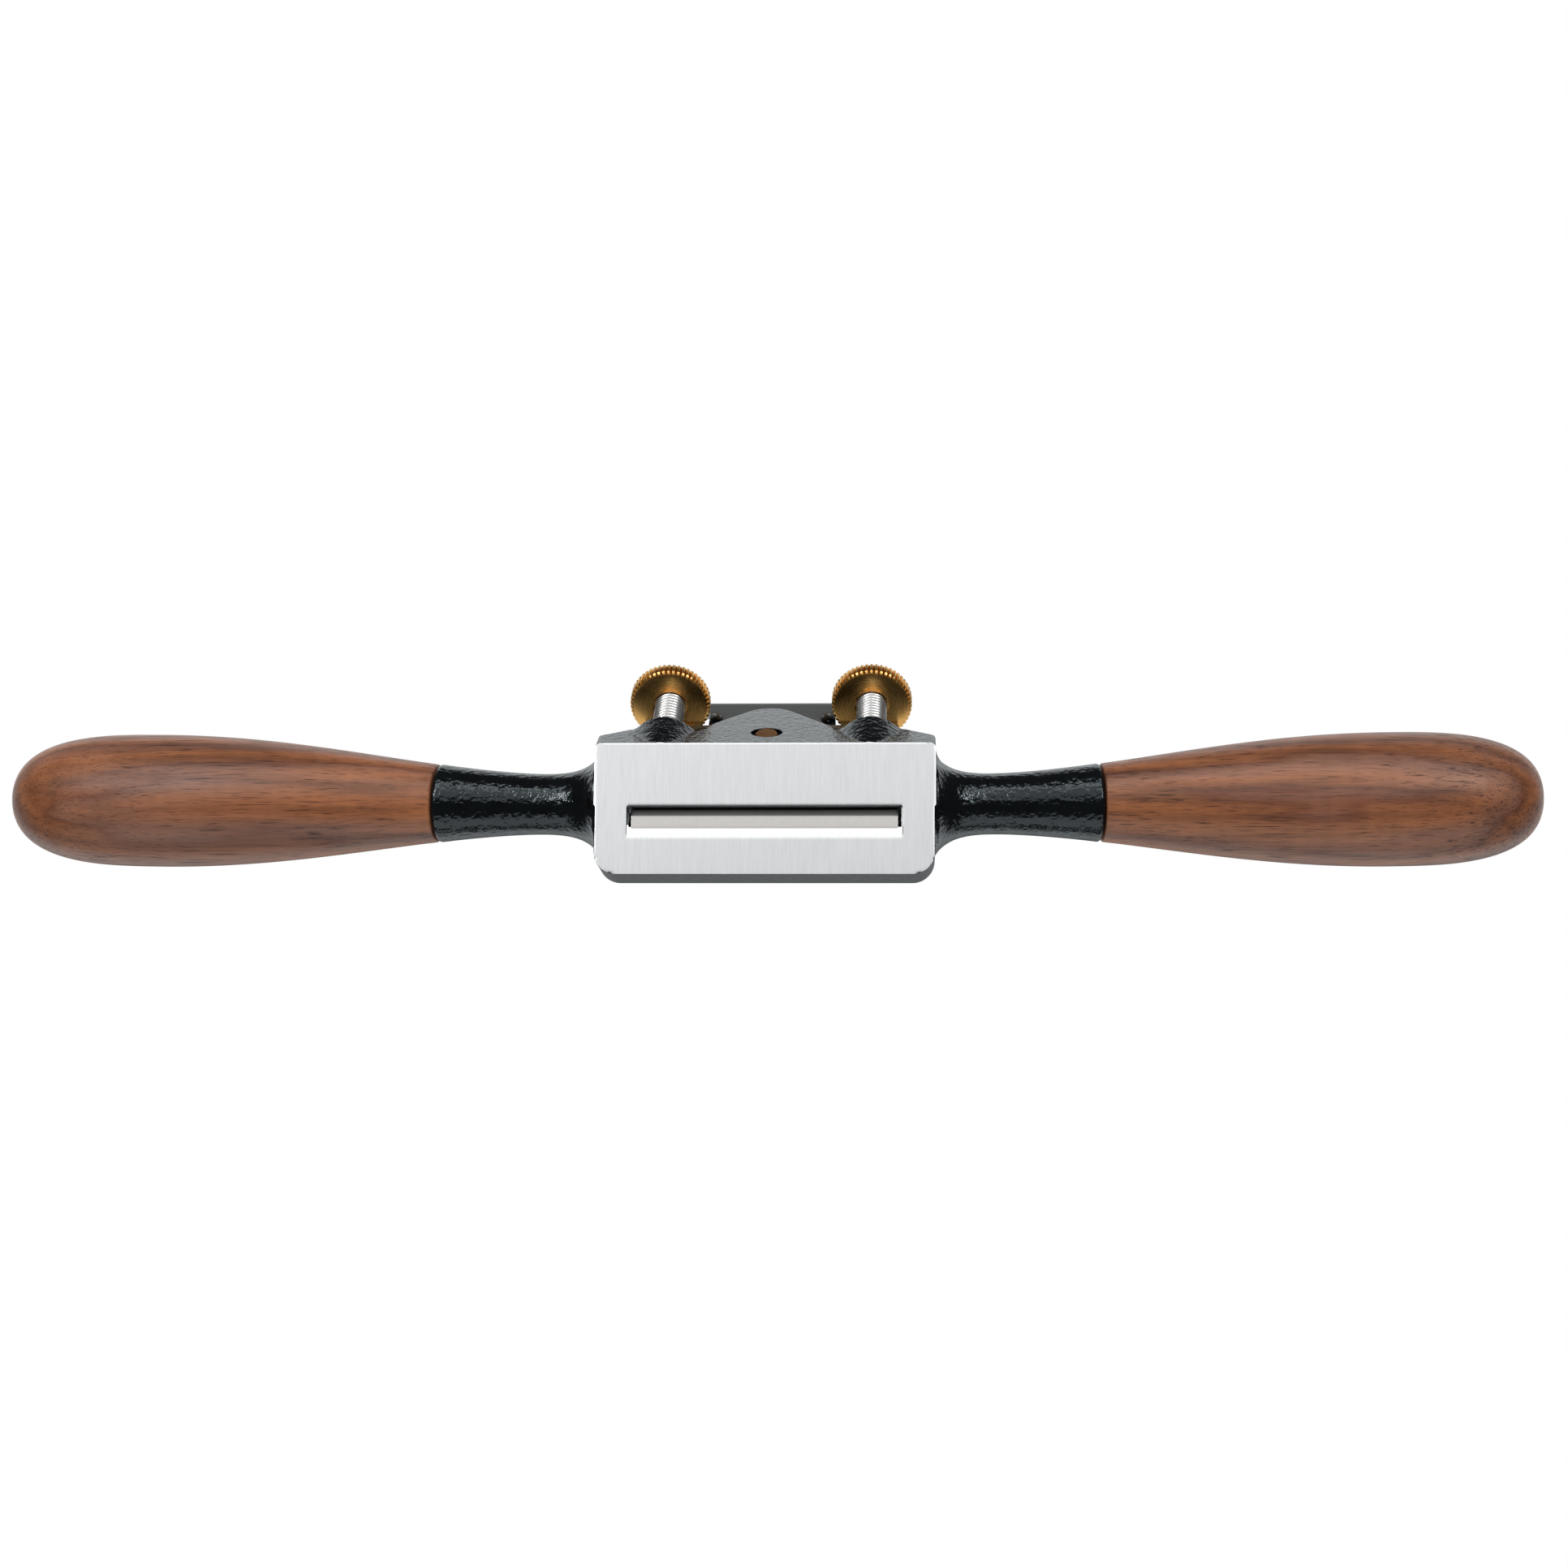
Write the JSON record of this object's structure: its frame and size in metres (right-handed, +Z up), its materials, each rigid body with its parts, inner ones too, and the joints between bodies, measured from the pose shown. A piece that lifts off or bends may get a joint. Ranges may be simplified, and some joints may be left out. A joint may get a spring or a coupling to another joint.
{
  "type": "spokeshave",
  "caption": "Flat-soled metal spokeshave with a blade on a sloping bed, a lever cap, knurled adjusting nuts on studs, and turned wooden handles on cast arms.",
  "frame": {"origin": "on the sole plane, at mid-width, on the land behind the mouth and under the handles' axis", "axes": "+X out along the left handle, +Y towards the heel, +Z up out of the sole"},
  "size_m": [0.3026, 0.0468, 0.0394],
  "materials": {
    "body_paint": "semi-gloss black paint on cast iron, sole ground bright",
    "blade_steel": "ground tool steel with a honed bevel",
    "cap_paint": "semi-gloss black paint, nose machined bright",
    "brass": "machined brass, straight knurled rims",
    "stud_steel": "bright threaded steel",
    "handle_wood": "satin oiled walnut"
  },
  "bodies": {
    "root": {"body_casting": "body_paint", "adjusting_stud_left": "stud_steel", "adjusting_stud_right": "stud_steel", "handle_stud_left": "stud_steel", "handle_stud_right": "stud_steel", "handle_left": "handle_wood", "handle_right": "handle_wood"},
    "blade": {"blade": "blade_steel"},
    "nut_left": {"adjusting_nut_left": "brass"},
    "nut_right": {"adjusting_nut_right": "brass"},
    "lever_cap": {"lever_cap": "cap_paint"},
    "thumbscrew": {"lever_cap_thumbscrew": "brass"},
    "cap_screw": {"lever_cap_screw": "brass"}
  },
  "joints": [
    {"name": "blade_feed", "type": "slide", "parent": "root", "child": "blade", "axis": [0, 0.7071, 0.7071], "range_m": [-0.002, 0.004]},
    {"name": "nut_left_spin", "type": "hinge", "parent": "blade", "child": "nut_left", "pos_m": [0.02015, 0.02326, 0.02249], "axis": [0, 0.7071, 0.7071], "range_deg": [-720, 1440]},
    {"name": "nut_right_spin", "type": "hinge", "parent": "blade", "child": "nut_right", "pos_m": [-0.02015, 0.02326, 0.02249], "axis": [0, 0.7071, 0.7071], "range_deg": [-720, 1440]},
    {"name": "cap_release", "type": "slide", "parent": "root", "child": "lever_cap", "axis": [0, 0.7071, 0.7071], "range_m": [0, 0.008]},
    {"name": "thumbscrew_spin", "type": "hinge", "parent": "lever_cap", "child": "thumbscrew", "pos_m": [0, 0.02014, 0.02503], "axis": [0, -0.7071, 0.7071], "range_deg": [0, 900]},
    {"name": "cap_screw_spin", "type": "hinge", "parent": "root", "child": "cap_screw", "pos_m": [0, 0.0072, 0.01209], "axis": [0, -0.7071, 0.7071], "range_deg": [-270, 630]}
  ],
  "couplings": [
    {"joint": "blade_feed", "follows": "nut_left_spin", "m_per_rad": 0.00015915},
    {"joint": "nut_right_spin", "follows": "nut_left_spin", "ratio": 1}
  ]
}
